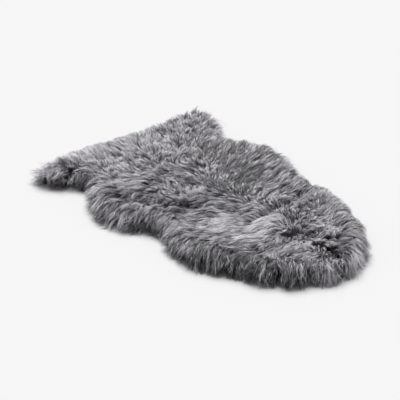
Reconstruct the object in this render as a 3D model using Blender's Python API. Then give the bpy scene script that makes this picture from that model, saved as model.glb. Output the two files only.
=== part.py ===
"""Sheepskin rug: one whole pelt with its wool on, lying flat on the floor with the wool up.

The frame: X runs along the skin, +X towards the rounded neck and -X towards the tail, where the two
hind legs make corners. +Y is the skin's left side, and +Z is up. The origin is on the floor, under
the middle of the rug. A rug like this is a single piece, so it is one closed solid: a slab with a
flat underside and a lumpy top of wool, and locks of wool that stick out all round its rim.
"""

import bpy
import bmesh
import numpy as np
from mathutils import Vector, noise
from mathutils.geometry import delaunay_2d_cdt

# Driving dimensions, in metres.
PILE_HEIGHT = 0.060        # top of the wool above the floor, away from the rim
SHOULDER = 0.030           # over this width the top falls away towards the rim
LATTICE_PITCH = 0.0165     # spacing of the points that carry the wool's surface
LATTICE_JITTER = 0.0028
RIM_CLEARANCE = 0.010      # the nearest that a surface point comes to the rim's last ring
INSET_STEP = 0.001         # the outline is walked inwards by so much at a time,
EVENING = 0.9              # and its points drawn by this share towards their neighbours' middle

# Locks of wool stick out of the rim in two staggered rows, one lock on every second station.
STATIONS = 270
WAIST_PLACE = 0.52         # a lock's waist is at this share of its reach,
WAIST_SCALE = 0.88         # where its size is this share of its root's,
TIP_SCALE = 0.34           # and this share at its tip
REACH_SPREAD = 0.009       # how far short of the outline a lock may end
SIDE_SPREAD = 0.004        # how far its tip may lean along the rim
CLUMP_STATIONS = 9         # the tips of so many stations are drawn together into one clump
CLUMP_DRAW = 0.35          # by this share of their distance from the clump's middle

# The wool lies in tufts with hollows between them, on a broader swell.
TUFT_SIZE = 0.056
TUFT_DEPTH = 0.030
SWELL_SIZE = 0.160
SWELL_DEPTH = 0.007

SEED = 7
WOOL_GREY = (0.27, 0.27, 0.28)

# Outline of the wool's tips seen from above, in metres, once round from the neck by way of the
# left side and the tail. Columns: x, y.
OUTLINE = (
    # neck and left shoulder
    (0.475, 0.024), (0.457, 0.107), (0.389, 0.173), (0.297, 0.227), (0.197, 0.259),
    # left flank, with its shallow waist
    (0.101, 0.254), (0.019, 0.269), (-0.059, 0.302), (-0.127, 0.313), (-0.191, 0.284),
    # notch before the left hind leg, and the leg
    (-0.245, 0.250), (-0.301, 0.271), (-0.369, 0.316), (-0.427, 0.324), (-0.465, 0.301),
    # tail edge
    (-0.474, 0.251), (-0.465, 0.149), (-0.458, 0.029), (-0.468, -0.091), (-0.471, -0.186),
    # right hind leg, and the notch behind it
    (-0.468, -0.264), (-0.456, -0.311), (-0.416, -0.330), (-0.374, -0.306), (-0.349, -0.260),
    (-0.313, -0.226), (-0.273, -0.241),
    # right flank, with its deep waist
    (-0.221, -0.279), (-0.149, -0.298), (-0.083, -0.284), (-0.043, -0.253), (-0.017, -0.218),
    (0.025, -0.219), (0.079, -0.248),
    # right shoulder and neck
    (0.147, -0.257), (0.217, -0.240), (0.269, -0.201), (0.335, -0.175), (0.397, -0.133),
    (0.445, -0.061),
)

# The side of the slab, from the underside up. Columns: how far in from the outline, and height.
SIDE = (
    (0.034, 0.000),
    (0.025, 0.006),
    (0.021, 0.017),
    (0.021, 0.023),
    (0.024, 0.034),
    (0.033, 0.045),
)
LOWER_ROW = 1              # the lower locks grow between this ring of SIDE and the next
UPPER_ROW = 3

# How each row of locks leaves the rim. Columns: height of a lock's middle halfway out, height of
# its underside at the tip. The lower row comes to rest level on the floor.
ROW_HEIGHTS = {
    LOWER_ROW: (0.0095, 0.0),
    UPPER_ROW: (0.0260, 0.011),
}

# Partings where the wool falls open, as soft troughs. Columns: x and y of one end, x and y of the
# other, depth, width.
PARTINGS = (
    (-0.019, -0.210, -0.044, -0.165, 0.018, 0.030),
    (-0.044, -0.165, -0.169, -0.195, 0.015, 0.028),
    (-0.059, -0.141, 0.011, -0.066, 0.013, 0.028),
    (0.153, -0.019, 0.131, 0.180, 0.014, 0.022),
    (0.284, -0.014, 0.280, 0.051, 0.011, 0.024),
    (0.381, 0.031, 0.414, 0.043, 0.011, 0.026),
    (0.314, 0.141, 0.312, 0.186, 0.010, 0.022),
    (0.223, -0.149, 0.272, -0.145, 0.011, 0.026),
    (-0.292, -0.155, -0.230, -0.133, 0.014, 0.026),
    (-0.364, 0.014, -0.326, 0.032, 0.010, 0.024),
    (-0.429, -0.257, -0.371, -0.220, 0.013, 0.026),
    (-0.433, -0.020, -0.386, -0.012, 0.009, 0.026),
    (-0.225, 0.245, -0.162, 0.147, 0.012, 0.034),
)

rng = np.random.default_rng(SEED)


def closed_curve(points, count, steps_per_span=24):
    """A Catmull-Rom curve through the points and back to the first, read at even steps of length."""
    points = np.asarray(points)
    t = np.linspace(0.0, 1.0, steps_per_span, endpoint=False)[None, :, None]
    a, b, c, d = (np.roll(points, -shift, axis=0)[:, None, :] for shift in (-1, 0, 1, 2))
    fine = 0.5 * (2 * b + (c - a) * t + (2 * a - 5 * b + 4 * c - d) * t**2
                  + (3 * b - a - 3 * c + d) * t**3)
    fine = np.vstack([fine.reshape(-1, 2), points[:1]])
    along = np.concatenate([[0.0], np.cumsum(np.linalg.norm(np.diff(fine, axis=0), axis=1))])
    wanted = np.linspace(0.0, along[-1], count, endpoint=False)
    return np.column_stack([np.interp(wanted, along, fine[:, k]) for k in (0, 1)])


def inset(loop, distance):
    """The loop walked inwards in small steps.

    After each step the points are drawn towards the middle of their neighbours, along the loop and
    inwards but never outwards, so that outer corners round off and notches keep their full depth.
    """
    for _ in range(round(distance / INSET_STEP)):
        tangent = np.roll(loop, -1, axis=0) - np.roll(loop, 1, axis=0)
        tangent /= np.linalg.norm(tangent, axis=1)[:, None]
        inward = np.column_stack([-tangent[:, 1], tangent[:, 0]])
        pull = 0.5 * (np.roll(loop, -1, axis=0) + np.roll(loop, 1, axis=0)) - loop
        pull_in = (pull * inward).sum(axis=1, keepdims=True)
        pull -= np.minimum(pull_in, 0.0) * inward
        loop = loop + INSET_STEP * inward + EVENING * pull
    return loop


def inside(points, loop):
    """Whether each point lies inside the loop: a ray from it crosses the loop an odd number of times."""
    (x, y), ahead = loop.T, np.roll(loop, -1, axis=0).T
    px, py = points[:, :1], points[:, 1:]
    spans = (y > py) != (ahead[1] > py)
    crossing = x + (py - y) * (ahead[0] - x) / np.where(ahead[1] == y, 1.0, ahead[1] - y)
    return (spans & (px < crossing)).sum(axis=1) % 2 == 1


def distance_to_segments(points, starts, ends):
    """The distance of every point to every segment, one row for each point."""
    along = ends - starts
    offset = points[:, None, :] - starts
    t = np.clip((offset * along).sum(axis=2) / (along**2).sum(axis=1), 0.0, 1.0)
    return np.linalg.norm(offset - t[..., None] * along, axis=2)


def surface_points(loop):
    """A jittered triangular lattice over the inside of the loop, kept clear of its edge."""
    low, high = loop.min(axis=0), loop.max(axis=0)
    rows = np.arange(low[1], high[1], LATTICE_PITCH * np.sqrt(0.75))
    columns = np.arange(low[0], high[0], LATTICE_PITCH)
    x, y = np.meshgrid(columns, rows)
    x[1::2] += LATTICE_PITCH / 2
    lattice = np.column_stack([x.ravel(), y.ravel()])
    lattice += rng.uniform(-LATTICE_JITTER, LATTICE_JITTER, lattice.shape)
    lattice = lattice[inside(lattice, loop)]
    gap = distance_to_segments(lattice, loop, np.roll(loop, -1, axis=0)).min(axis=1)
    return lattice[gap > RIM_CLEARANCE], gap[gap > RIM_CLEARANCE]


def wool_height(points, gap):
    """Height of the wool: a crown that rounds off towards the rim, less hollows, swells and partings.

    A tuft is a cell of a Voronoi pattern, full in its middle and lowest halfway to its neighbour.
    """
    rim_height = SIDE[-1][1]
    rise = np.sqrt(1.0 - (1.0 - np.clip(gap / SHOULDER, 0.0, 1.0))**2)
    height = rim_height + (PILE_HEIGHT - rim_height) * rise
    for row, (x, y) in enumerate(points):
        nearest, second = noise.voronoi(Vector((x, y, 0.0)) / TUFT_SIZE)[0][:2]
        height[row] -= TUFT_DEPTH * (nearest / (nearest + second)) * rise[row]
        height[row] += SWELL_DEPTH * noise.noise(Vector((x, y, 0.3)) / SWELL_SIZE)
    x0, y0, x1, y1, depth, width = np.asarray(PARTINGS).T
    away = distance_to_segments(points, np.column_stack([x0, y0]), np.column_stack([x1, y1]))
    trough = depth * np.exp(-(2.0 * away / width)**2)
    return height - trough.max(axis=1)


def side_rings(bm, outline):
    """The slab's side, ring above ring, and the faces of it that locks grow from, by row."""
    rings = []
    for depth, height in SIDE:
        loop = inset(outline, depth)
        rings.append([bm.verts.new((x, y, height)) for x, y in loop])
    roots = {LOWER_ROW: [], UPPER_ROW: []}
    for level, (lower, upper) in enumerate(zip(rings, rings[1:])):
        stagger = int(level == UPPER_ROW)
        for station in range(STATIONS):
            ahead = (station + 1) % STATIONS
            face = bm.faces.new((lower[station], lower[ahead], upper[ahead], upper[station]))
            if level in roots and (station + stagger) % 2 == 0:
                roots[level].append((face, station))
    return rings, roots


def top_surface(bm, ring):
    """Triangles over the inside of the last ring, lifted to the wool's height."""
    loop = np.array([vert.co.xy for vert in ring])
    points, gap = surface_points(loop)
    heights = wool_height(points, gap)
    lifted = [bm.verts.new((x, y, z)) for (x, y), z in zip(points, heights)]
    corners = list(ring) + lifted
    border = [(k, (k + 1) % STATIONS) for k in range(STATIONS)]
    flat = [vert.co.xy for vert in corners]
    _, _, triangles, origins, _, _ = delaunay_2d_cdt(flat, border, [], 1, 1e-6)
    for triangle in triangles:
        bm.faces.new([corners[origins[k][0]] for k in triangle])


def rim_tips(outline):
    """Where the lock of each station ends: on the outline or a little short of it, leaning into a clump."""
    ahead = np.roll(outline, -1, axis=0) - outline
    pitch = np.linalg.norm(ahead, axis=1)[:, None]
    outward = np.column_stack([ahead[:, 1], -ahead[:, 0]]) / pitch
    from_clump_middle = np.arange(STATIONS) % CLUMP_STATIONS - (CLUMP_STATIONS - 1) / 2
    tips = outline + (0.5 - CLUMP_DRAW * from_clump_middle[:, None]) * ahead
    tips -= outward * rng.uniform(0.0, REACH_SPREAD, (STATIONS, 1))
    tips += ahead / pitch * rng.uniform(-SIDE_SPREAD, SIDE_SPREAD, (STATIONS, 1))
    return tips


def grow_lock(bm, face, tip, waist_height, rest_height):
    """Draws a rim face out into a four-sided lock that droops to its tip."""
    corners = [vert.co.copy() for vert in face.verts]
    root = sum(corners, Vector()) / len(corners)
    spread = [corner - root for corner in corners]
    tip_height = rest_height - TIP_SCALE * min(offset.z for offset in spread)
    waist = root.lerp(Vector((*tip, 0.0)), WAIST_PLACE)
    stages = (
        (Vector((waist.x, waist.y, waist_height)), WAIST_SCALE),
        (Vector((*tip, tip_height)), TIP_SCALE),
    )
    for middle, scale in stages:
        face = bmesh.ops.extrude_discrete_faces(bm, faces=[face])["faces"][0]
        for corner, offset in zip(face.verts, spread):
            corner.co = middle + offset * scale


def sheepskin_mesh():
    """The whole rug as one closed surface, with the middle of its underside at the origin."""
    outline = closed_curve(OUTLINE, STATIONS)
    bm = bmesh.new()
    rings, roots = side_rings(bm, outline)
    bm.faces.new(list(reversed(rings[0])))
    top_surface(bm, rings[-1])
    tips = rim_tips(outline)
    for row, faces in roots.items():
        for face, station in faces:
            grow_lock(bm, face, tips[station], *ROW_HEIGHTS[row])
    bmesh.ops.triangulate(bm, faces=bm.faces[:])
    bmesh.ops.recalc_face_normals(bm, faces=bm.faces[:])

    plan = np.array([vert.co.xy for vert in bm.verts])
    middle = (plan.min(axis=0) + plan.max(axis=0)) / 2
    bmesh.ops.translate(bm, verts=bm.verts[:], vec=Vector((*-middle, 0.0)))
    mesh = bpy.data.meshes.new("sheepskin")
    bm.to_mesh(mesh)
    bm.free()
    return mesh


def wool_material():
    """Dyed grey wool: rough, with no metallic shine."""
    material = bpy.data.materials.new("wool")
    material.use_nodes = True
    shader = material.node_tree.nodes["Principled BSDF"]
    shader.inputs["Base Color"].default_value = (*WOOL_GREY, 1.0)
    shader.inputs["Roughness"].default_value = 0.85
    shader.inputs["Metallic"].default_value = 0.0
    return material


for old in list(bpy.data.objects):
    bpy.data.objects.remove(old, do_unlink=True)
collection = bpy.data.collections.new("sheepskin rug")
bpy.context.scene.collection.children.link(collection)
rug = bpy.data.objects.new("sheepskin", sheepskin_mesh())
rug.data.materials.append(wool_material())
collection.objects.link(rug)
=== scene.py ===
import math

import bpy
import numpy as np
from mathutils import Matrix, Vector
from mathutils.bvhtree import BVHTree


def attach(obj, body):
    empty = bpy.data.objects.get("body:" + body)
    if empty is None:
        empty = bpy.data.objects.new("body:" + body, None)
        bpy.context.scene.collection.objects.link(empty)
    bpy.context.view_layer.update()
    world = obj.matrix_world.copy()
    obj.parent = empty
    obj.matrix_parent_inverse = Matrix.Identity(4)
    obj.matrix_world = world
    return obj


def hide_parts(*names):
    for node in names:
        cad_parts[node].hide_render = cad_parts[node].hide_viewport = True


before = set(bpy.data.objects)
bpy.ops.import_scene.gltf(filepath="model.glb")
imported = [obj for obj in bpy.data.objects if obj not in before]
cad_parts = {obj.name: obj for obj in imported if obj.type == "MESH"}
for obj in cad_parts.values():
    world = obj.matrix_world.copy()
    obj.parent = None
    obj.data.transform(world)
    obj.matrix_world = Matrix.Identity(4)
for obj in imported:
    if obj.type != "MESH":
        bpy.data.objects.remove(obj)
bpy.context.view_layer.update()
rng = np.random.default_rng(11)     # every random value below comes from this

# ---- The skin ------------------------------------------------------------------------------------
# One tanned and dyed sheepskin, cut round its edge with a knife and trimmed to the pelt's own
# outline: rounded neck, waisted flanks and two hind legs. Its flesh side is buffed to a suede and
# lies on the floor. The wool grows out of the other side.

HIDE_THICKNESS = 0.002
HIDE_RINGS = 14
STATIONS = 300                      # points along the edge
STAR_CENTRE = np.array([-0.25, 0.0])      # from here every point of the edge can be seen
FLOOR_LEVEL = 1e-4                  # what is lower than this lies on the floor
SUEDE = (0.150, 0.147, 0.150)
SUEDE_WORN = (0.235, 0.230, 0.228)
WORN_SHARE = 0.6                    # how much of the change of colour is wear,
NAP_SHARE = 0.25                    # and how much of it is the nap


class Channel:
    """A value in a shader: + and * between channels and numbers add the Math nodes."""

    def __init__(self, paint, socket):
        self.paint = paint
        self.socket = socket

    def _math(self, operation, *values):
        return self.paint.node("ShaderNodeMath", {"operation": operation}, dict(enumerate(values)))

    def __add__(self, other):
        return self._math("ADD", self, other)

    def __mul__(self, other):
        return self._math("MULTIPLY", self, other)

    __radd__ = __add__
    __rmul__ = __mul__


class Paint:
    """A material under construction, with its Principled shader as a start."""

    def __init__(self, name, **finish):
        self.material = bpy.data.materials.new(name)
        self.material.use_nodes = True
        self.nodes = self.material.node_tree.nodes
        self.links = self.material.node_tree.links
        self.shader = self.nodes["Principled BSDF"]
        for socket, value in finish.items():
            self.shader.inputs[socket.replace("_", " ")].default_value = value

    def put(self, socket, value):
        """Links a channel to the socket, or sets the socket to a plain value."""
        if isinstance(value, Channel):
            self.links.new(value.socket, socket)
        elif hasattr(value, "__len__") and len(value) == 3 and len(socket.default_value) == 4:
            socket.default_value = (*value, 1.0)
        else:
            socket.default_value = value

    def node(self, kind, settings, sockets, output=0):
        """Adds a node with those settings and socket values, and gives one of its outputs."""
        made = self.nodes.new(kind)
        for name, value in settings.items():
            if name == "stops":
                self.ramp(made.color_ramp, value)
            else:
                setattr(made, name, value)
        for name, value in sockets.items():
            self.put(made.inputs[name], value)
        return Channel(self, made.outputs[output])

    @staticmethod
    def ramp(ramp, stops):
        """Gives the ramp these stops, each a place and a grey."""
        while len(ramp.elements) < len(stops):
            ramp.elements.new(0.5)
        for element, (place, grey) in zip(ramp.elements, stops):
            element.position = place
            element.color = (grey, grey, grey, 1.0)

    def mix(self, factor, first, second):
        """A colour that goes from the first to the second as the factor goes from 0 to 1."""
        return self.node("ShaderNodeMix", {"data_type": "RGBA"}, {0: factor, 6: first, 7: second}, 2)


def new_object(name, verts, faces, material, smooth=True):
    """A mesh object at the origin from arrays of points and of equal-sided faces."""
    mesh = bpy.data.meshes.new(name)
    sides = faces.shape[1]
    mesh.vertices.add(len(verts))
    mesh.vertices.foreach_set("co", verts.astype(np.float32).ravel())
    mesh.loops.add(faces.size)
    mesh.loops.foreach_set("vertex_index", faces.astype(np.int32).ravel())
    mesh.polygons.add(len(faces))
    mesh.polygons.foreach_set("loop_start", np.arange(0, faces.size, sides, dtype=np.int32))
    mesh.polygons.foreach_set("use_smooth", np.full(len(faces), smooth))
    mesh.update(calc_edges=True)
    mesh.validate()
    mesh.materials.append(material)
    made = bpy.data.objects.new(name, mesh)
    bpy.context.scene.collection.objects.link(made)
    return made


def skin_edge(node, count):
    """The edge of the solid's flat underside as a closed loop, at even steps of its length.

    The underside's own points are those of its level triangles. They are put in order by their
    bearing from a point that sees the whole edge.
    """
    mesh = node.data
    corners = np.array([face.vertices[:] for face in mesh.polygons])
    points = np.empty(len(mesh.vertices) * 3)
    mesh.vertices.foreach_get("co", points)
    points = points.reshape(-1, 3)
    level = (np.abs(points[corners, 2]) < FLOOR_LEVEL).all(axis=1)
    edge = np.unique(points[corners[level].ravel(), :2].round(6), axis=0)
    bearing = np.arctan2(*(edge - STAR_CENTRE).T[::-1])
    edge = edge[np.argsort(bearing)]
    closed = np.vstack([edge, edge[:1]])
    along = np.concatenate([[0.0], np.cumsum(np.linalg.norm(np.diff(closed, axis=0), axis=1))])
    wanted = np.linspace(0.0, along[-1], count, endpoint=False)
    return np.column_stack([np.interp(wanted, along, closed[:, k]) for k in (0, 1)])


def polar_sheet(loop, rings, height):
    """A closed form over the loop: one face below (side 0) and one above (side 1), joined at the rim.

    A point of either face is the centre plus a share of the way to the loop, and height(points,
    side) lifts it. The share runs 0 to 1 from the middle out, so the middle is one point.
    """
    share = np.linspace(0.0, 1.0, rings + 1)[1:]
    plan = STAR_CENTRE + share[:, None, None] * (loop - STAR_CENTRE)
    count = len(loop)
    faces, verts = [], []
    station = np.arange(count)
    ahead = (station + 1) % count
    for side in (0, 1):
        base = side * (1 + rings * count)
        z = height(plan, side)
        middle = height(STAR_CENTRE[None, None, :], side).ravel()[0]
        verts.append([[*STAR_CENTRE, middle]])
        verts.append(np.dstack([plan, z]).reshape(-1, 3))
        inner = base + 1 + np.arange(rings - 1)[:, None] * count
        quads = np.stack([inner + station, inner + count + station, inner + count + ahead,
                          inner + ahead], axis=-1).reshape(-1, 4)
        fan = np.column_stack([np.full(count, base), base + 1 + station, base + 1 + ahead])
        quads = np.vstack([quads[:, [0, 1, 2]], quads[:, [0, 2, 3]], fan])
        faces.append(quads if side else quads[:, ::-1])
    low = 1 + (rings - 1) * count
    high = low + 1 + rings * count
    wall = np.stack([low + station, low + ahead, high + ahead, high + station], axis=-1)
    faces.append(wall[:, [0, 1, 2]])
    faces.append(wall[:, [0, 2, 3]])
    return np.vstack(verts), np.vstack(faces)


def hide_height(plan, side):
    """Level: 0 below, and the skin's thickness above."""
    return np.full(plan.shape[:2], side * HIDE_THICKNESS)


def suede_paint():
    """Buffed flesh side: a felted nap in grey, paler where it is worn, with soft pits."""
    paint = Paint("suede", Roughness=0.95, Metallic=0.0)
    where = paint.node("ShaderNodeTexCoord", {}, {}, "Object")
    cloud = paint.node("ShaderNodeTexNoise", {}, {"Vector": where, "Scale": 9.0, "Detail": 5.0})
    nap = paint.node("ShaderNodeTexNoise", {}, {"Vector": where, "Scale": 420.0, "Detail": 3.0})
    worn = paint.node("ShaderNodeValToRGB", {"stops": ((0.38, 0.0), (0.72, 1.0))}, {0: cloud})
    colour = paint.mix(worn * WORN_SHARE + nap * NAP_SHARE, SUEDE, SUEDE_WORN)
    paint.put(paint.shader.inputs["Base Color"], colour)
    bump = paint.node("ShaderNodeBump", {}, {"Height": nap + cloud * 2.0, "Strength": 0.5,
                                             "Distance": 0.0008})
    paint.put(paint.shader.inputs["Normal"], bump)
    return paint.material


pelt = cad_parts["sheepskin"]
edge = skin_edge(pelt, STATIONS)
verts, faces = polar_sheet(edge, HIDE_RINGS, hide_height)
hide = new_object("hide", verts, faces, suede_paint(), smooth=False)
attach(hide, "root")

# ---- The lie of the wool -------------------------------------------------------------------------
# Long wool is combed and then handled, so it lies in a different direction on each part of the
# skin: upright over the back, flat and smooth over the shoulder, curly at the neck and the near
# leg, and outwards all round the edge, where it falls over to the floor.

FIELD_STEP = 0.004                  # what the wool does is worked out on a grid of this spacing,
FIELD_MARGIN = 0.06                 # which goes this far past the skin's edge
PILE = 0.058                        # height of the wool, away from the rim
ROUND_OFF = 0.046                   # over this width it rounds off down to the floor
STEEPER = 0.40                      # or less by this share on the side that it was brushed from
REACH_OVER = 0.006                  # the finest tips end so far past the middle of the solid's locks
COVER_BAND = 0.35                   # that middle is sought where the cover is this near one half
COVER_SLOPE = 20.0                  # and changes at least so fast, for each metre
RELIEF_START = 0.008                # hollows and partings begin this far in from the edge,
RELIEF_SLOPE = 0.04                 # and reach their depth over this width
TUFTS_START = 0.012                 # the solid's own tufts count from this far in
DEEPEST = 0.014                     # and their hollows go no deeper than this
COMB_SPREAD = 0.045                 # a row of COMBING holds for about this far round its place
RIM_BLEND = 0.045                   # from this far in, the wool turns outwards
RIM_TURN = 0.75                     # and at the very rim by this share
RIM_LEAN = 0.76
BRUSHED = 0.16                      # and leans so much more on the side it was brushed towards,
BRUSHED_TO = math.radians(-39)      # which is this heading, and less on the other side
BRUSHED_WAY = np.array([math.cos(BRUSHED_TO), math.sin(BRUSHED_TO)])
LEAN_FLOOR = 0.05                   # wool with less lean than this isn't drawn out to more
SWIRL_SIZE = 0.055                  # across a swirl of the wool, which turns it this way or that
SWIRL_TURN = 0.165                  # by about so many radians where it is tidy,
SWIRL_MESSY = 0.275                 # and by so many more where it is unruly

# Columns: x, y, heading of the tips in degrees from +X, lean (0 upright, 1 flat), unruliness.
COMBING = (
    (-0.39, 0.23, 125, 0.45, 0.6),
    (-0.39, 0.12, 150, 0.55, 0.4),
    (-0.40, -0.02, 160, 0.60, 0.4),
    (-0.40, -0.17, 170, 0.60, 0.5),
    (-0.43, -0.27, -150, 0.75, 0.9),
    (-0.32, -0.22, -100, 0.60, 0.7),
    (-0.30, -0.14, 165, 0.75, 0.4),
    (-0.28, -0.02, 145, 0.55, 0.4),
    (-0.26, 0.07, 140, 0.55, 0.3),
    (-0.21, 0.18, 127, 0.65, 0.2),
    (-0.15, 0.02, -125, 0.80, 0.3),
    (-0.09, -0.05, 140, 0.55, 0.4),
    (-0.19, -0.12, -110, 0.80, 0.4),
    (-0.17, -0.22, -90, 0.80, 0.3),
    (-0.08, -0.25, -80, 0.80, 0.4),
    (-0.02, -0.17, -90, 0.85, 0.4),
    (-0.06, 0.24, 117, 0.80, 0.15),
    (-0.09, 0.10, 107, 0.80, 0.2),
    (0.03, 0.12, 95, 0.88, 0.15),
    (0.05, 0.21, 105, 0.80, 0.15),
    (0.03, -0.01, -129, 0.88, 0.2),
    (0.11, -0.10, -120, 0.88, 0.2),
    (0.15, 0.02, -120, 0.85, 0.25),
    (0.22, -0.16, -85, 0.75, 0.5),
    (0.24, -0.05, -105, 0.75, 0.5),
    (0.17, 0.16, 100, 0.55, 0.7),
    (0.26, 0.12, 90, 0.45, 0.8),
    (0.33, 0.00, -68, 0.60, 0.6),
    (0.38, 0.10, 40, 0.60, 0.6),
    (0.41, -0.02, -50, 0.60, 0.4),
    (0.22, 0.23, 85, 0.70, 0.3),
)

# Where the wool falls open. Columns: x and y of one end, x and y of the other, width, depth.
PARTINGS = (
    (0.150, -0.020, 0.142, 0.077, 0.008, 0.010),
    (0.142, 0.077, 0.132, 0.183, 0.008, 0.010),
    (-0.167, -0.195, -0.118, -0.168, 0.010, 0.010),
    (-0.118, -0.168, -0.059, -0.137, 0.012, 0.012),
    (-0.059, -0.137, 0.010, -0.061, 0.012, 0.010),
    (-0.359, 0.014, -0.323, 0.037, 0.008, 0.012),
    (0.270, -0.020, 0.290, 0.070, 0.008, 0.003),
    (0.370, 0.030, 0.430, 0.050, 0.008, 0.003),
    (0.315, 0.130, 0.311, 0.195, 0.008, 0.006),
    (0.050, -0.037, 0.091, -0.027, 0.010, 0.008),
    (0.210, -0.150, 0.280, -0.150, 0.008, 0.003),
    (-0.292, -0.152, -0.227, -0.128, 0.008, 0.010),
    (-0.452, -0.247, -0.372, -0.187, 0.010, 0.012),
    (-0.395, -0.158, -0.363, -0.060, 0.009, 0.008),
    (-0.019, -0.171, 0.012, -0.117, 0.009, 0.008),
)
PARTING_SPREAD = 0.012              # the wool leans away from a parting out to here,
PARTING_PUSH = 0.14                 # by this much more,
PARTING_MIDDLE = 0.006              # but less within this distance of its middle

# Where the finest tips reach further than REACH_OVER, or less far. Columns: x, y, radius, by how
# much.
REACHES = (
    (-0.490, -0.280, 0.060, 0.026),
    (-0.430, -0.330, 0.040, -0.006),
    (-0.340, -0.260, 0.040, 0.012),
    (-0.260, -0.260, 0.060, 0.010),
    (-0.010, -0.245, 0.060, 0.010),
    (-0.330, 0.285, 0.060, 0.020),
    (-0.020, 0.285, 0.080, 0.022),
    (0.190, 0.240, 0.060, 0.010),
    (0.360, 0.180, 0.070, 0.010),
    (0.290, -0.220, 0.070, -0.008),
    (0.460, -0.080, 0.080, -0.008),
    (0.490, 0.060, 0.050, -0.006),
)

# Where the wool is combed smooth and flat. Columns: x, y, radius, how much, from 0 to 1.
SMOOTHED = (
    (-0.440, -0.170, 0.040, 0.8),
    (-0.430, -0.090, 0.045, 1.0),
    (-0.430, 0.000, 0.045, 1.0),
    (-0.420, 0.080, 0.040, 0.5),
    (0.170, 0.230, 0.060, 0.5),
    (0.260, 0.210, 0.050, 0.8),
    (0.340, 0.180, 0.050, 0.9),
    (0.410, 0.120, 0.045, 0.8),
)
SMOOTHEST = 0.95
SMOOTH_LEAN = 0.28                  # so much more does it lean there at the rim


def runs(count, size):
    """The numbers from 0 up to count, in runs of about this size, to keep tables of pairs small."""
    return np.array_split(np.arange(count), count // size + 1)


def segment_distance(points, loop):
    """The distance of each point to the nearest side of the loop, positive inside it.

    The nearest point of a side is its start plus the share t of it, with t held between 0 and 1. A
    point is inside if a level ray from it crosses the loop an odd number of times.
    """
    ahead = np.roll(loop, -1, axis=0)
    side = ahead - loop
    climb = np.where(side[:, 1] == 0.0, 1.0, side[:, 1])
    nearest = np.empty(len(points))
    crossings = np.zeros(len(points), dtype=int)
    for run in runs(len(points), 4000):
        offset = points[run, None, :] - loop
        t = np.clip((offset * side).sum(axis=2) / (side**2).sum(axis=1), 0.0, 1.0)
        nearest[run] = np.linalg.norm(offset - t[..., None] * side, axis=2).min(axis=1)
        level = points[run, 1:]
        spans = (loop[:, 1] > level) != (ahead[:, 1] > level)
        crossed_at = loop[:, 0] + (level - loop[:, 1]) * side[:, 0] / climb
        crossings[run] = (spans & (points[run, :1] < crossed_at)).sum(axis=1)
    return np.where(crossings % 2 == 1, nearest, -nearest)


def soften(grid, passes):
    """Each point of the grid becomes the mean of itself and its neighbours, several times over."""
    for _ in range(passes):
        for axis in (0, 1):
            grid = 0.5 * grid + 0.25 * (np.roll(grid, 1, axis) + np.roll(grid, -1, axis))
    return grid


def unit(vectors):
    """The vectors brought to length 1."""
    return vectors / (np.linalg.norm(vectors, axis=-1, keepdims=True) + 1e-9)


def turned(vectors, angle):
    """Plane vectors turned by an angle each."""
    c, s = np.cos(angle), np.sin(angle)
    x, y = vectors[..., 0], vectors[..., 1]
    return np.stack([c * x - s * y, s * x + c * y], axis=-1)


def bell(points, x, y, radius):
    """1 at the place (x, y), falling off round it as e to the minus (distance / radius) squared."""
    return np.exp(-((points[..., 0] - x)**2 + (points[..., 1] - y)**2) / radius**2)


field_low = edge.min(axis=0) - FIELD_MARGIN
field_size = np.ceil((np.ptp(edge, axis=0) + 2 * FIELD_MARGIN) / FIELD_STEP).astype(int) + 1
grid_x = field_low[0] + np.arange(field_size[0]) * FIELD_STEP
grid_y = field_low[1] + np.arange(field_size[1]) * FIELD_STEP
nodes = np.stack(np.meshgrid(grid_x, grid_y, indexing="ij"), axis=-1)

# How far inside the skin's edge each place is, and which way is out of it.
gap = segment_distance(nodes.reshape(-1, 2), edge).reshape(nodes.shape[:2])
outward = unit(-np.stack(np.gradient(soften(gap, passes=6), FIELD_STEP), axis=-1))
brushed = outward @ BRUSHED_WAY


def swell(size):
    """Smooth random values over the field, of mean 0 and spread 1, that change over this length."""
    grid = soften(rng.normal(size=gap.shape), round((size / FIELD_STEP)**2 / 4))
    return (grid - grid.mean()) / grid.std()


def solid_height(node, ceiling=0.2):
    """How high the node's solid stands at each place: where a ray straight down meets it, or 0."""
    solid = BVHTree.FromPolygons([vertex.co for vertex in node.data.vertices],
                                 [face.vertices[:] for face in node.data.polygons])
    down = Vector((0, 0, -1))
    hits = [solid.ray_cast(Vector((x, y, ceiling)), down)[0] for x, y in nodes.reshape(-1, 2)]
    return np.array([hit.z if hit else 0.0 for hit in hits]).reshape(gap.shape)


def wool_reach(height):
    """How far inside the line of the wool's tips each place is.

    The line is the solid's outline with its locks evened out: where the softened cover, 1 on the
    solid and 0 off it, is one half. A place near it comes to lie on it when it is moved outwards by
    (cover - 1/2) / slope. The distance is the one to the nearest of these, and it is positive
    inside. Then it is longer by REACH_OVER, and by each row of REACHES times a bell round its place.
    """
    cover = soften((height > 0.0).astype(float), passes=4)
    slope = np.linalg.norm(np.stack(np.gradient(cover, FIELD_STEP)), axis=0)
    near = (np.abs(cover - 0.5) < COVER_BAND) & (slope > COVER_SLOPE)
    line = nodes[near] + outward[near] * ((cover[near] - 0.5) / slope[near])[:, None]
    places = nodes.reshape(-1, 2)
    nearest = np.empty(len(places))
    for run in runs(len(places), 900):
        offset = places[run, None, :] - line
        nearest[run] = np.sqrt((offset**2).sum(axis=2).min(axis=1))
    inside = nearest.reshape(gap.shape) * np.sign(cover - 0.5) + REACH_OVER
    for x, y, radius, further in REACHES:
        inside += further * bell(nodes, x, y, radius)
    return soften(inside, passes=2)


solid_top = solid_height(pelt)
reach = wool_reach(solid_top)

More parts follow.
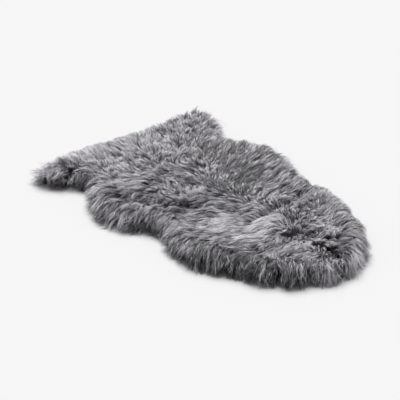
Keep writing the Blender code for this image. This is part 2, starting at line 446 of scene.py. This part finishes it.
# The lie of the wool: a mean of the combing rows, each weighted by a bell round its place. The
# length of a lie is its lean.
comb_x, comb_y, comb_heading, comb_lean, comb_mess = np.array(COMBING).T
weight = bell(nodes[..., None, :], comb_x, comb_y, COMB_SPREAD * math.sqrt(2)) + 1e-12
weight /= weight.sum(axis=-1, keepdims=True)
comb_heading = np.radians(comb_heading)
mess = (weight * comb_mess).sum(axis=-1)
comb = np.stack([(weight * comb_lean * np.cos(comb_heading)).sum(axis=-1),
                 (weight * comb_lean * np.sin(comb_heading)).sum(axis=-1)], axis=-1)
comb = turned(comb, swell(SWIRL_SIZE) * (SWIRL_TURN + SWIRL_MESSY * mess))

# At a parting it leans away from the line, and the wool's top is lower by a bell across it.
falling_open = np.zeros(gap.shape)
for x0, y0, x1, y1, parting_width, parting_depth in PARTINGS:
    start = np.array([x0, y0])
    line = np.array([x1 - x0, y1 - y0])
    share = np.clip(((nodes - start) @ line) / (line @ line), 0.0, 1.0)
    away = nodes - (start + share[..., None] * line)
    apart = np.linalg.norm(away, axis=-1)
    push = PARTING_PUSH * np.exp(-(apart / PARTING_SPREAD)**2)
    push *= np.clip(apart / PARTING_MIDDLE, 0.0, 1.0)
    comb = comb + unit(away) * push[..., None]
    falling_open = np.maximum(falling_open, parting_depth * np.exp(-(apart / parting_width)**2))

# Towards the rim it turns outwards, and its lean goes over to that of the rim.
smooth = sum(amount * bell(nodes, x, y, radius) for x, y, radius, amount in SMOOTHED)
smooth = np.clip(smooth, 0.0, SMOOTHEST)
rim_share = RIM_TURN * np.clip(1.0 - gap / RIM_BLEND, 0.0, 1.0)[..., None]
rim_lean = (RIM_LEAN + BRUSHED * brushed + SMOOTH_LEAN * smooth)[..., None]
lean_before = np.linalg.norm(comb, axis=-1, keepdims=True)
lean_wanted = lean_before * (1.0 - rim_share) + rim_lean * rim_share
comb = comb * (1.0 - rim_share) + rim_lean * outward * rim_share
comb *= lean_wanted / (np.linalg.norm(comb, axis=-1, keepdims=True) + LEAN_FLOOR)

# The height of the wool: a quarter round towards the rim, with the solid's own tufts and partings.
round_off = ROUND_OFF * (1.0 - STEEPER * np.clip(-brushed, 0.0, 1.0))
inside_reach = np.clip(reach / round_off, 0.0, 1.0)
crown = PILE * np.sqrt(1.0 - (1.0 - inside_reach)**2)
relief = np.where(gap > TUFTS_START, np.maximum(solid_top - PILE, -DEEPEST), 0.0)
relief_share = np.clip((gap - RELIEF_START) / RELIEF_SLOPE, 0.0, 1.0)
top = crown + (soften(relief, passes=2) - falling_open) * relief_share


def read(field, points):
    """The field's value at each point, blended from the four grid nodes round it."""
    place = (points - field_low) / FIELD_STEP
    place = np.clip(place, 0.0, np.array(gap.shape) - 1.001)
    cell = place.astype(int)
    fx, fy = (place - cell).reshape(-1, 2).T
    i, j = cell.reshape(-1, 2).T
    if field.ndim == 3:
        fx, fy = fx[:, None], fy[:, None]
    value = (field[i, j] * (1 - fx) * (1 - fy) + field[i + 1, j] * fx * (1 - fy)
             + field[i, j + 1] * (1 - fx) * fy + field[i + 1, j + 1] * fx * fy)
    return value.reshape(points.shape[:-1] + field.shape[2:])


# ---- The underwool -------------------------------------------------------------------------------
# Short, dense, matted wool next to the skin. It shows only as the dark between the locks: its
# near-black colour is painted shade, the shade deep in the pile.

UNDER_SHARE = 0.55                  # its height as a share of the wool's
UNDER_SLOPE = 0.045                 # it rises from the edge over this width
UNDER_LOWEST = 0.0028               # from this height
UNDER_CLEARANCE = 0.0003            # between its underside and the skin
UNDER_RINGS = 56
# painted shade: the underwool's near-black greys stand for the shade deep in the pile
UNDER_SHADE_DARK = (0.032, 0.0305, 0.034)
UNDER_SHADE_PALE = (0.085, 0.082, 0.088)


def underwool_height(plan, side):
    """Level below, just clear of the skin. Above, a share of the wool's own height, which rises
    from the edge as a sine."""
    if not side:
        return np.full(plan.shape[:2], HIDE_THICKNESS + UNDER_CLEARANCE)
    slope = np.clip(read(gap, plan) / UNDER_SLOPE, 0.0, 1.0)
    return np.maximum(read(top, plan) * UNDER_SHARE * np.sin(slope * np.pi / 2), UNDER_LOWEST)


def underwool_shade_paint():
    """Felted wool in near-black greys, painted shade for the depth of the pile: a fine fibrous
    mottle, with a matching bump.
    """
    paint = Paint("underwool", Roughness=0.95, Metallic=0.0)
    where = paint.node("ShaderNodeTexCoord", {}, {}, "Object")
    clots = paint.node("ShaderNodeTexNoise", {}, {"Vector": where, "Scale": 160.0, "Detail": 6.0,
                                                  "Roughness": 0.7, "Distortion": 1.2})
    paint.put(paint.shader.inputs["Base Color"], paint.mix(clots, UNDER_SHADE_DARK, UNDER_SHADE_PALE))
    bump = paint.node("ShaderNodeBump", {}, {"Height": clots, "Strength": 0.8, "Distance": 0.002})
    paint.put(paint.shader.inputs["Normal"], bump)
    return paint.material


verts, faces = polar_sheet(edge, UNDER_RINGS, underwool_height)
underwool = new_object("underwool", verts, faces, underwool_shade_paint())
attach(underwool, "root")
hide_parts("sheepskin")

# ---- The wool ------------------------------------------------------------------------------------
# Fibres about 8 cm long that hold together: a pinch of them makes a lock about 4 mm across, a few
# locks a staple about 1 cm across, and a dozen staples a tuft, with a dark hollow round it. Each
# ribbon here is a bundle of fibres. The wool is one coat, made in seven lengths of the skin.

# How it bunches.
LOCK_PITCH = 0.0042                 # from one lock to the next,
LOCK_JITTER = 0.35                  # moved at random by up to this share of it
EDGE_CLEAR = 0.0008                 # no lock grows nearer to the skin's edge
INNER_KEEP = 0.80                   # away from the rim only this share of the locks is made
RIM_DENSE = 0.022                   # the locks are all made to this far in
FRINGE_PITCH = 0.00315              # the fringe is a second growth of locks at the rim,
FRINGE_JITTER = 0.45
FRINGE_CLEAR = 0.0005
FRINGE_DEPTH = 0.014                # to this far in,
FRINGE_HEIGHT = (0.15, 0.9)         # and of these shares of the others' height
STAPLE_PITCH = 0.011
STAPLE_STRETCH = 2.0                # a staple is so many times as long as wide
TUFT_PITCH = 0.042
TUFT_STRETCH = 1.8
BUNCH_JITTER = 0.42
BUNCH_BULK = (0.5, 1.6)             # a bulky bunch draws in more of its neighbours
FIBRES_PER_LOCK = 4
FIBRE_SCATTER = 0.45                # of a lock's pitch, about its middle

# How far fibres differ. Columns: the part that a whole tuft shares, the part that a staple shares,
# the part that a lock shares, and the part of each fibre alone.
TURN_SPREAD = (0.0, 0.06, 0.084, 0.05)          # of the heading, in radians,
LOOSE_TURN_SPREAD = (0.60, 0.30, 0.0, 0.0)      # and so much more where the wool is loose,
LOOSE_LOCK_SPREAD = (0.0, 0.0, 0.14, 0.0)       # and by locks
LEAN_SPREAD = (0.0, 0.08, 0.06, 0.05)           # of the lean, as a share
LENGTH_SPREAD = (0.05, 0.10, 0.08, 0.06)        # of the length, as a share
PHASE_SPREAD = (0.0, 0.0, 0.6, 0.1)             # of the place of the waves, in radians
HOOK_SPREAD = (0.3, 0.8, 0.5, 0.15)             # of the hook at the tip, to either side
HEIGHT_SPREAD = (0.06, 0.06, 0.06, 0.025)       # of the height, as a share
TONE_SPREAD = (0.08, 0.14, 0.29, 0.14)          # of the tone
MOST_SPREAD = 2.2                               # none differs by more than this many times that


def lattice(pitch, jitter):
    """Points on a triangular lattice over the skin, each moved at random by a share of the pitch."""
    low, high = edge.min(axis=0), edge.max(axis=0)
    x, y = np.meshgrid(np.arange(low[0], high[0], pitch),
                       np.arange(low[1], high[1], pitch * math.sqrt(0.75)))
    x[1::2] += pitch / 2
    points = np.column_stack([x.ravel(), y.ravel()])
    return points + rng.uniform(-jitter, jitter, points.shape) * pitch


def bunch(points, pitch, stretch):
    """The centres of bunches, and for each point the number of its own: the nearest centre, where
    a step along the wool's lie counts for less than one across it, and bulky bunches draw more."""
    centres = lattice(pitch, BUNCH_JITTER)
    bulk = rng.uniform(*BUNCH_BULK, len(centres))
    flow = unit(read(comb, points))
    by_x = np.argsort(points[:, 0])
    window = 4 * pitch
    chosen = np.empty(len(points), dtype=int)
    for run in runs(len(points), 800):
        group = by_x[run]
        low, high = points[group, 0].min(), points[group, 0].max()
        near = np.flatnonzero((centres[:, 0] > low - window) & (centres[:, 0] < high + window))
        offset = centres[near] - points[group, None, :]
        along = (offset * flow[group, None, :]).sum(axis=2)
        squared = (offset**2).sum(axis=2) - along**2 * (1.0 - 1.0 / stretch**2)
        chosen[group] = near[(squared / bulk[near]).argmin(axis=1)]
    return centres, chosen


locks = lattice(LOCK_PITCH, LOCK_JITTER)
lock_gap = read(gap, locks)
kept = rng.uniform(size=len(locks)) < np.where(lock_gap < RIM_DENSE, 1.0, INNER_KEEP)
locks = locks[kept & (lock_gap > EDGE_CLEAR)]
fringe = lattice(FRINGE_PITCH, FRINGE_JITTER)
fringe_gap = read(gap, fringe)
fringe = fringe[(fringe_gap > FRINGE_CLEAR) & (fringe_gap < FRINGE_DEPTH)]
# the fringe fills the room under the wool that falls over the rim
stature = np.concatenate([np.ones(len(locks)), rng.uniform(*FRINGE_HEIGHT, len(fringe))])
locks = np.vstack([locks, fringe])
staples, staple_of = bunch(locks, STAPLE_PITCH, STAPLE_STRETCH)
tufts, tuft_of = bunch(staples, TUFT_PITCH, TUFT_STRETCH)

# From here on a row is a fibre. A value of the whole fibre is a column of one, so that it goes with
# the fibre's knots, which run along the row.
lock = np.repeat(np.arange(len(locks)), FIBRES_PER_LOCK)
staple = staple_of[lock]
tuft = tuft_of[staple]
fibres = len(lock)
root = locks[lock]


def spread(count):
    """Random values of mean 0 and spread 1, none past MOST_SPREAD."""
    return np.clip(rng.normal(size=count), -MOST_SPREAD, MOST_SPREAD)


def bunched(by_tuft, by_staple, by_lock, by_fibre):
    """A random value for each fibre, with a part shared by its tuft, its staple and its lock."""
    return (by_tuft * spread(len(tufts))[tuft] + by_staple * spread(len(staples))[staple]
            + by_lock * spread(len(locks))[lock] + by_fibre * spread(fibres))[:, None]


def per_lock(low, high):
    """A random value between these for each lock, the same for all its fibres."""
    return rng.uniform(low, high, len(locks))[lock][:, None]


def at_root(field):
    """The field's value at the root of each fibre."""
    return read(field, root)[:, None]


# Which way a fibre lies, and how far over. It lies as the wool is combed at its root, turned by a
# spread that is wider where the wool is loose: unruly, or at the rim. A stray turns further.
FIBRE_LENGTH = 0.078
SHOWN_AT = 0.65                     # what shows of a fibre is so far along its length
RIM_LOOSE = 0.45                    # the wool at the rim is at least so loose
STRAY_SHARE = 0.10                  # of the fibres stand out from their lock, singly and thin,
STRAY_TURN = 0.45                   # turned by so many radians more
LEAST_LEAN = 0.10
MOST_LEAN = 0.96

near_rim = np.clip(1.0 - at_root(gap) / RIM_BLEND, 0.0, 1.0)
near_side = near_rim * np.clip(at_root(brushed), 0.0, 1.0)      # the rim it was brushed towards
far_side = np.clip(-at_root(brushed), 0.0, 1.0)                 # the side it was brushed from
outwards = read(outward, root)
combed = read(comb, root)
shown = root + SHOWN_AT * FIBRE_LENGTH * combed
rough = 1.0 - read(smooth, shown)[:, None]
loose = np.maximum(at_root(mess), RIM_LOOSE * near_rim) * rough

turn = loose * bunched(*LOOSE_TURN_SPREAD)
turn += bunched(*TURN_SPREAD) + loose * bunched(*LOOSE_LOCK_SPREAD)
stray = (rng.uniform(size=(fibres, 1)) < STRAY_SHARE).astype(float)
turn += stray * STRAY_TURN * spread(fibres)[:, None]
lie = turned(combed, turn[:, 0]) * (1.0 + bunched(*LEAN_SPREAD))
lean = np.clip(np.linalg.norm(lie, axis=1, keepdims=True), LEAST_LEAN, MOST_LEAN)
heading = unit(lie)
across = turned(heading, np.pi / 2)

# How far a fibre goes: its length times its lean, but not past the wool's reach. The top rounds off
# to the rim as a quarter circle, and a fibre ends there at a random angle round it, from 0, high
# up, to ENDING, near the floor.
ENDING = 1.25
LEAST_LEAVING = 0.35                # a fibre that runs along the rim is cut as if it left so fast
STRAY_REACH = 0.009                 # strays may go so far past the reach
LENGTH_TRIM = 0.04                  # the ends are uneven by this share
SHORTEST = 0.006

length = FIBRE_LENGTH * (1.0 + bunched(*LENGTH_SPREAD)) * lean
leaving = np.maximum((heading * outwards).sum(axis=1, keepdims=True), LEAST_LEAVING)
room = at_root(reach) + STRAY_REACH * stray * near_rim
ending = ENDING * per_lock(0.0, 1.0)**(1.0 + far_side)
length = np.minimum(length, (room - at_root(round_off) * (1.0 - np.cos(ending))) / leaving)
length = np.maximum(length * (1.0 + LENGTH_TRIM * spread(fibres)[:, None]), SHORTEST)

# Its path in plan, with t from 0 at the root to 1 at the tip: it first rises and then bends over,
# so the way gone is the length times t to a power above 1. Across that go a wave, t * sin(t), and a
# hook, a power of t. At the rim that it was brushed towards the tips also bend round to that way.
KNOTS = 6                           # points along a fibre,
KNOT_PLACES = np.linspace(0.0, 1.0, KNOTS)**0.8     # closer together towards the tip
GONE_UPRIGHT = 1.7                  # the power for an upright fibre,
GONE_LESS = 0.8                     # and how much less it is for one that lies flat
WAVES = 1.1                         # along a fibre
WAVE = 0.0016                       # across a wave,
WAVE_LOOSE = 0.0040                 # and so much more where the wool is loose
WAVE_GROWS = 1.2
HOOK = 0.009
HOOK_RIM = 0.008                    # so much more at the rim
HOOK_TIDY = 0.25                    # tidy wool has this share of it,
HOOK_LOOSE = 0.8                    # and loose wool so much more
HOOK_GROWS = 2.2
SWEEP = 0.025                       # how far the tips bend round,
SWEEP_BACK = 0.6                    # having first gone the other way by this share

t = KNOT_PLACES[None, :]
gone = length * t**(GONE_UPRIGHT - GONE_LESS * lean)
phase = rng.uniform(0.0, 2 * np.pi, len(staples))[staple][:, None] + bunched(*PHASE_SPREAD)
wave = (WAVE + WAVE_LOOSE * loose) * t**WAVE_GROWS * np.sin(2 * np.pi * WAVES * t + phase)
hook = (HOOK + HOOK_RIM * near_rim) * (HOOK_TIDY + HOOK_LOOSE * loose) * t**HOOK_GROWS
hook = hook * bunched(*HOOK_SPREAD)
hook = hook + SWEEP * near_side * (across @ BRUSHED_WAY)[:, None] * (t**2 - SWEEP_BACK * t)

# Towards the tips fibres draw together to the middle of their lock, locks to the middle of their
# staple, and staples to the middle of their tuft: each by its own share, times how closed the wool
# is, times a power of t. Rim wool and loose wool close up more, and combed wool and strays less.
FIBRE_CLOSE = 0.80
STAPLE_CLOSE = 0.45
TUFT_CLOSE = 0.22
FIBRE_CLOSES_BY = 1.3               # the power of t
BUNCH_CLOSES_BY = 1.5
CLOSED = 0.6
CLOSED_LOOSE = 0.5
CLOSED_RIM = 0.4
CLOSED_COMBED = 0.3                 # combed wool closes up by this share of that,
CLOSED_STRAY = 0.3                  # and strays by this
MOST_CLOSED = 0.92

fibre_place = rng.normal(0.0, FIBRE_SCATTER, (fibres, 2)) * LOCK_PITCH
closing = CLOSED + CLOSED_LOOSE * np.clip(loose, 0.0, 1.0) + CLOSED_RIM * near_rim
closing = closing * (CLOSED_COMBED + (1.0 - CLOSED_COMBED) * rough)
closing = closing * (1.0 - (1.0 - CLOSED_STRAY) * stray)


def drawn(offset, share, power):
    """An offset at the root that closes up by a share of itself towards the tip."""
    left = 1.0 - np.minimum(share * closing, MOST_CLOSED) * t**power
    return offset[:, None] * left[..., None]


plan = (tufts[tuft][:, None]
        + drawn(staples[staple] - tufts[tuft], TUFT_CLOSE, BUNCH_CLOSES_BY)
        + drawn(locks[lock] - staples[staple], STAPLE_CLOSE, BUNCH_CLOSES_BY)
        + drawn(fibre_place, FIBRE_CLOSE, FIBRE_CLOSES_BY)
        + heading[:, None] * gone[..., None] + across[:, None] * (wave + hook)[..., None])

# Its height: a share of the wool's own height where it is. The share rises from root to tip, sooner
# the more the fibre leans. A tuft is fullest along its own ridge and at its downstream end, at the
# rim there are locks of every height, and combed wool, which lies on top for most of its length,
# dips in again at its tips.
TALL = 0.98
TALL_VARIED = 0.4                   # rough wool takes so much of HEIGHT_SPREAD,
TALL_LOOSE = 0.8                    # and loose wool so much more
TALL_DOWNSTREAM = 0.18              # at a tuft's downstream end, and less by as much at its other
TALL_ASIDE = 0.35                   # lower by this at a tuft's sides,
ASIDE_POWER = 1.5
TUFTED_RIM = 0.3                    # and at the rim only this share of that
RIM_LOWER = 0.75                    # a lock at the rim is lower by up to this share
RIM_LOWER_LESS = 0.3                # or less by this, on the side that it was brushed from
SHORTEST_LOCK = 0.12
TALLEST_LOCK = 1.14
RISE_UPRIGHT = 1.5                  # the power by which an upright fibre rises,
RISE_LEANING = 2.2                  # and how much more for one that leans
LOW_ROOT = 0.25                     # inside the rim a fibre first shows at this share
DIP = 0.26                          # the most by which tips dip in
DIP_LOOSE = 2.0                     # loose wool dips less, by 1 / (1 + this)
DIP_LIFT = 0.4                      # wool that dips in stands higher before, by this share of it
DROOP = 0.04                        # every tip droops by this
HELD_UP = 0.006                     # at the rim a tip has the wool's height up to this far inwards
LOWEST = 0.0006                     # above the floor

offset = staples[staple] - tufts[tuft]
downstream = (offset * heading).sum(axis=1, keepdims=True) / (TUFT_PITCH * TUFT_STRETCH)
downstream = np.clip(downstream, -1.0, 1.0)
aside = np.abs((offset * across).sum(axis=1, keepdims=True)) / TUFT_PITCH
tall = TALL + (TALL_VARIED * rough + TALL_LOOSE * loose) * bunched(*HEIGHT_SPREAD)
tufted = (1.0 - (1.0 - TUFTED_RIM) * near_rim) * rough
tall = tall + (TALL_DOWNSTREAM * downstream - TALL_ASIDE * aside**ASIDE_POWER) * tufted
lower = near_rim**2 * per_lock(0.0, RIM_LOWER) * (1.0 - RIM_LOWER_LESS * far_side)
tall = np.clip(tall * (1.0 - lower) * stature[lock][:, None], SHORTEST_LOCK, TALLEST_LOCK)
rise = 1.0 - (1.0 - t)**(RISE_UPRIGHT + RISE_LEANING * lean)
low = LOW_ROOT * (1.0 - near_rim)
dip = per_lock(0.0, DIP) * (1.0 - near_rim) / (1.0 + DIP_LOOSE * loose)
share = low + (tall + DIP_LIFT * dip - low) * rise - (DROOP + dip) * lean * t**3
held_up = STRAY_REACH * stray + per_lock(0.0, HELD_UP)
further_in = plan - (held_up * near_rim * t**2)[..., None] * outwards[:, None]
height = np.maximum(np.maximum(read(top, further_in), 0.0) * share, LOWEST)
knots = np.concatenate([plan, height[..., None]], axis=-1)

# Its colour: a tone from 0 to 1 for the whole fibre, and a painted shade that goes from dark at the
# root, for the shade deep in the pile, to pale at the tip. Low fibres at the rim are painted in
# shade:
# they show the dark of their length and not the pale of their tips, so the rim darkens to the floor.
# Where the wool is paler, it is so for more of its length.
TONE = 0.52
TONE_DOWNSTREAM = 0.10              # paler at a tuft's downstream end
# painted shade: the rim it was brushed towards faces away from the lamp and is painted darker
SHADE_NEAR_SIDE = 0.28               # darker at the rim that it was brushed towards
TONE_COMBED = 0.3                   # combed wool takes this share of TONE_SPREAD,
TONE_VARIED = 1.0                   # and dark wool so much more: it has pale locks here and there
TONE_PATCH = 1.6                    # a dark patch counts for this many times what it takes off
TONE_ENDS = (0.02, 0.98)
# painted shade: a fibre whose tip is low at the rim stops short of its pale tip, so the rim darkens
# towards the floor
PALE = 0.44                         # a fibre at the floor gets this far towards a pale tip,
PALE_RISE = 0.56                    # and so much further with its tip's height,
PALE_AT = 0.8                       # up to this share of the pile
PALE_TONE = 0.4                     # or where its own tone is pale
LONGER_PALE = 0.4                   # pale patches are so for up to this much more of the length

# Where the wool is paler or darker, partly its own tone and partly painted light: paler where the
# lamp behind catches the far rim, darker where the front rim lies in shade. Columns: x, y, radius,
# what it adds to the tone.
TONE_AND_LIGHT_PATCHES = (
    (-0.180, 0.130, 0.060, -0.65),
    (-0.050, 0.160, 0.060, -0.70),
    (-0.010, 0.070, 0.055, -0.95),
    (-0.100, 0.020, 0.050, -0.80),
    (-0.190, -0.040, 0.045, -0.60),
    (-0.140, -0.200, 0.045, -0.75),
    (0.000, -0.140, 0.045, -0.75),
    (-0.290, 0.150, 0.050, -0.60),
    (0.200, -0.210, 0.045, -0.90),
    (0.260, -0.160, 0.040, -0.80),
    (0.360, -0.090, 0.055, -0.70),
    (0.400, 0.060, 0.050, -0.70),
    (0.190, 0.160, 0.035, -0.40),
    (0.460, 0.090, 0.045, 0.90),
    (0.460, -0.020, 0.030, 0.50),
    (0.330, 0.040, 0.045, 0.40),
    (0.180, 0.020, 0.050, 0.40),
    (0.200, -0.060, 0.050, 0.40),
    (0.110, -0.090, 0.045, 0.35),
    (0.030, -0.240, 0.035, 0.50),
    (-0.090, -0.290, 0.040, 0.65),
    (-0.420, -0.200, 0.035, 0.35),
    (-0.240, -0.130, 0.040, 0.30),
    (-0.390, 0.010, 0.045, 0.30),
    (-0.290, 0.270, 0.040, 0.35),
    (-0.420, -0.130, 0.045, 0.35),
    (-0.430, -0.270, 0.035, 0.25),
    (-0.250, -0.240, 0.045, 0.35),
)

# partly the wool's own tone, partly painted light: pale far rim in the lamp, dark front rim in shade
tone_and_light_patch = sum(tone * bell(shown, x, y, radius) for x, y, radius, tone in TONE_AND_LIGHT_PATCHES)[:, None]
varied = TONE_COMBED + (1.0 - TONE_COMBED) * rough
varied = varied * (1.0 + TONE_VARIED * np.clip(near_side - TONE_PATCH * tone_and_light_patch, 0.0, 1.0))
own_tone = bunched(*TONE_SPREAD) * varied
# the last term is painted shade on the rim that faces away from the lamp
tone = TONE + own_tone + TONE_DOWNSTREAM * downstream * rough + tone_and_light_patch - SHADE_NEAR_SIDE * near_side
tone = np.clip(tone, *TONE_ENDS)
# painted shade near the floor: the lower a fibre's tip, the less of its pale tip it shows
pale = PALE + PALE_RISE * np.clip(height[:, -1:] / (PALE_AT * PILE), 0.0, 1.0)
pale = np.minimum(pale + np.maximum(tone_and_light_patch, 0.0) + PALE_TONE * np.maximum(own_tone, 0.0), 1.0)
dark_share = 1.0 - np.clip(tone_and_light_patch, 0.0, LONGER_PALE)

# Its ribbon narrows from the root to the tip as 1 - t squared does, and ends in a point.
FIBRE_WIDTH = 0.0014
WIDTH_VARIES = (0.7, 1.3)
NARROWS = 0.75                      # by this share towards the tip
STRAY_THIN = 0.45                   # a stray has this share of the width
MOST_ROLL = 0.4                     # a ribbon is rolled about its run by up to so many radians
HAIR = 1.5 / 1024                   # half of a ribbon's width in the map

width = FIBRE_WIDTH * rng.uniform(*WIDTH_VARIES, (fibres, 1)) * (1.0 - NARROWS * t**2)
width *= 1.0 - (1.0 - STRAY_THIN) * stray


def ribbons(knots, width, tone, pale, dark_share):
    """Flat tapering ribbons: each knot widens sideways, across the run and a random roll about it.

    The map's first axis runs root to tip: a knot is at pale * (1 - dark_share * (1 - place)). Its
    second axis is the ribbon's tone, a hair wide.
    """
    count = len(knots)
    run = unit(np.gradient(knots, axis=1))
    level = unit(np.stack([-run[..., 1], run[..., 0], np.zeros(run.shape[:2])], axis=-1))
    upright = np.cross(run, level)
    roll = rng.uniform(-MOST_ROLL, MOST_ROLL, (count, 1, 1))
    side = (np.cos(roll) * level + np.sin(roll) * upright) * width[..., None] * 0.5
    body = np.stack([knots[:, :-1] - side[:, :-1], knots[:, :-1] + side[:, :-1]], axis=2)
    verts = np.concatenate([body.reshape(count, -1, 3), knots[:, -1:]], axis=1)
    per = verts.shape[1]
    steps = 2 * np.arange(KNOTS - 2)[:, None]
    strip = (steps + np.array([0, 1, 3])).tolist() + (steps + np.array([0, 3, 2])).tolist()
    strip.append([per - 3, per - 2, per - 1])
    faces = (np.arange(count)[:, None, None] * per + np.array(strip)).reshape(-1, 3)
    place = np.repeat(0.01 + 0.98 * KNOT_PLACES, 2)[:-1]
    aside = np.tile([-HAIR, HAIR], KNOTS)[:-1]
    aside[-1] = 0.0
    uv = np.stack([(1.0 - dark_share * (1.0 - place)) * pale, tone + aside], axis=-1)
    return verts.reshape(-1, 3), faces, uv.reshape(-1, 2)


# the darkest colour: that of dark locks, and the painted shade at the roots deep in the pile
WOOL_DARK_AND_SHADE = (0.030, 0.0285, 0.0315)
WOOL_TIP = (0.840, 0.816, 0.868)
# How pale a fibre is along its length, which is painted shade: dark at the root, deep in the pile.
# Columns: place on the map's first axis, shade.
WOOL_PAINTED_SHADE = ((0.0, 0.0), (0.34, 0.03), (0.56, 0.26), (0.78, 0.82), (1.0, 1.0))
DARKEST_LOCK = 0.13                 # a lock of tone 0 has this share of its shade,
LOCK_TONES = 1.31                   # and one of tone 1 so much more
STREAKS_ALONG = 6.0                 # streaks are long and thin: so many down the length of a lock
STREAKS_ACROSS = 700.0              # and so many across the tones
DARKEST_STREAK = 0.75
STREAK_TONES = 0.5


def wool_paint():
    """Dyed wool, each lock in its own tone, with a soft sheen, and painted shade: dark at the root,
    pale at the tip.
    """
    paint = Paint("wool", Roughness=0.50, Metallic=0.0, Sheen_Weight=0.35, Sheen_Roughness=0.4)
    coordinates = paint.node("ShaderNodeUVMap", {"uv_map": "OFBake"}, {})
    along, tone = [paint.node("ShaderNodeSeparateXYZ", {}, {0: coordinates}, axis) for axis in "XY"]
    painted_shade = paint.node("ShaderNodeValToRGB", {"stops": WOOL_PAINTED_SHADE}, {0: along})
    drawn_out = paint.node("ShaderNodeCombineXYZ", {}, {"X": along * STREAKS_ALONG,
                                                        "Y": tone * STREAKS_ACROSS})
    streak = paint.node("ShaderNodeTexNoise", {"noise_dimensions": "2D"},
                        {"Vector": drawn_out, "Scale": 1.0, "Detail": 2.0})
    value = painted_shade * (DARKEST_LOCK + tone * LOCK_TONES) * (DARKEST_STREAK + streak * STREAK_TONES)
    paint.put(paint.shader.inputs["Base Color"], paint.mix(value, WOOL_DARK_AND_SHADE, WOOL_TIP))
    return paint.material


# The coat's seven lengths: where each ends and the next begins, along the skin.
LENGTHS = (-1.0, -0.36, -0.24, -0.12, 0.0, 0.12, 0.25, 1.0)
LENGTH_NAMES = ("wool_tail", "wool_legs", "wool_loin", "wool_back", "wool_ribs", "wool_shoulder",
                "wool_neck")

wool_material = wool_paint()
for name, start, end in zip(LENGTH_NAMES, LENGTHS, LENGTHS[1:]):
    here = (root[:, 0] >= start) & (root[:, 0] < end)
    verts, faces, uv = ribbons(knots[here], width[here], tone[here], pale[here], dark_share[here])
    piece = new_object(name, verts, faces, wool_material)
    layer = piece.data.uv_layers.new(name="OFBake")
    layer.data.foreach_set("uv", uv[faces.ravel()].astype(np.float32).ravel())
    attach(piece, "root")

# ---- The floor, the light and the camera ---------------------------------------------------------
# A plain pale floor in soft studio light: an even sky, and one wide lamp high up behind the rug, a
# little to one side. The camera looks down on the rug from beside its neck.

FLOOR_SIDE = 14.0
FLOOR_WHITE = (0.83, 0.83, 0.83)
FLOOR_CLOUD = (0.84, 0.84, 0.84)
SKY_STRENGTH = 0.21
LAMP_STRENGTH = 3.195
LAMP_SIZE = math.radians(45)        # as wide in the sky as this
LAMP_TILT = math.radians(28)        # from straight above
LAMP_TURN = 0.15                    # in radians, from straight behind the rug
TARGET = Vector((-0.0758, 0.0016, 0.0))
BEARING = math.radians(51.0)        # the camera looks this way, from +Y round towards -X,
ELEVATION = math.radians(29.5)      # and down by this
DISTANCE = 3.4262
HALF_VIEW = math.radians(9.0)
SENSOR = 36.0                       # in millimetres

paint = Paint("floor", Roughness=0.9, Specular_IOR_Level=0.2)
where = paint.node("ShaderNodeTexCoord", {}, {}, "Object")
cloud = paint.node("ShaderNodeTexNoise", {}, {"Vector": where, "Scale": 0.4})
paint.put(paint.shader.inputs["Base Color"], paint.mix(cloud, FLOOR_WHITE, FLOOR_CLOUD))
corner = FLOOR_SIDE / 2
floor = new_object("floor", np.array([(-corner, -corner, 0), (corner, -corner, 0),
                                      (corner, corner, 0), (-corner, corner, 0)], dtype=float),
                   np.array([[0, 1, 2, 3]]), paint.material)

scene = bpy.context.scene
scene.view_settings.view_transform = "Standard"
world = bpy.data.worlds.new("studio")
world.use_nodes = True
sky = world.node_tree.nodes["Background"]
sky.inputs["Color"].default_value = (1.0, 1.0, 1.0, 1.0)
sky.inputs["Strength"].default_value = SKY_STRENGTH
scene.world = world

light = bpy.data.lights.new("studio_lamp", "SUN")
light.energy = LAMP_STRENGTH
light.angle = LAMP_SIZE
lamp = bpy.data.objects.new("studio_lamp", light)
lamp.rotation_euler = (LAMP_TILT, 0.0, BEARING + math.pi + LAMP_TURN)
scene.collection.objects.link(lamp)

lens = bpy.data.cameras.new("camera")
lens.sensor_width = SENSOR
lens.lens = SENSOR / 2 / math.tan(HALF_VIEW)
lens.clip_end = 50.0
camera = bpy.data.objects.new("camera", lens)
level_sight = Vector((-math.sin(BEARING), math.cos(BEARING), 0.0))
sight = math.cos(ELEVATION) * level_sight - math.sin(ELEVATION) * Vector((0, 0, 1))
camera.location = TARGET - DISTANCE * sight
camera.rotation_euler = (TARGET - camera.location).to_track_quat("-Z", "Y").to_euler()
scene.collection.objects.link(camera)
scene.camera = camera
